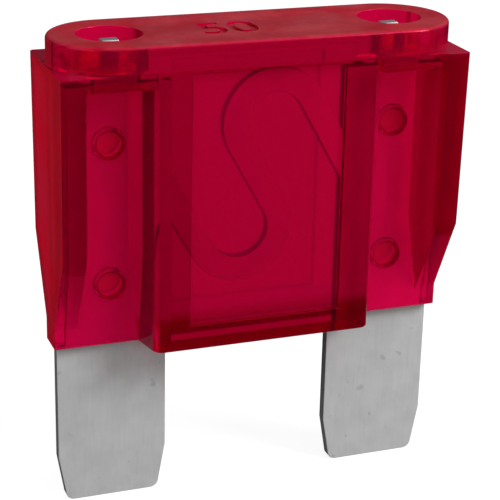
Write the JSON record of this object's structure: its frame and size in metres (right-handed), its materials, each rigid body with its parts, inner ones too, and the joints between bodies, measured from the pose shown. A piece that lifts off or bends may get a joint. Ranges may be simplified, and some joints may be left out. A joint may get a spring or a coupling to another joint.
{
  "type": "large plug-in blade fuse",
  "caption": "Plug-in vehicle fuse: translucent red moulded housing over two flat parallel blades joined inside by an S-shaped fusible link.",
  "frame": {"origin": "middle of the housing's underside, midway between the two blades and on the middle plane of the sheet", "axes": "+Z out of the holder, towards the head; X across the pair of blades; Y through the thickness, front at -Y"},
  "size_m": [0.0292, 0.0088, 0.0345],
  "materials": {
    "red_plastic": "moulded, translucent red, glossy",
    "zinc_sheet": "matt rolled sheet, stamped"
  },
  "bodies": {
    "root": {"housing": "red_plastic", "fuse_element": "zinc_sheet"}
  },
  "joints": []
}
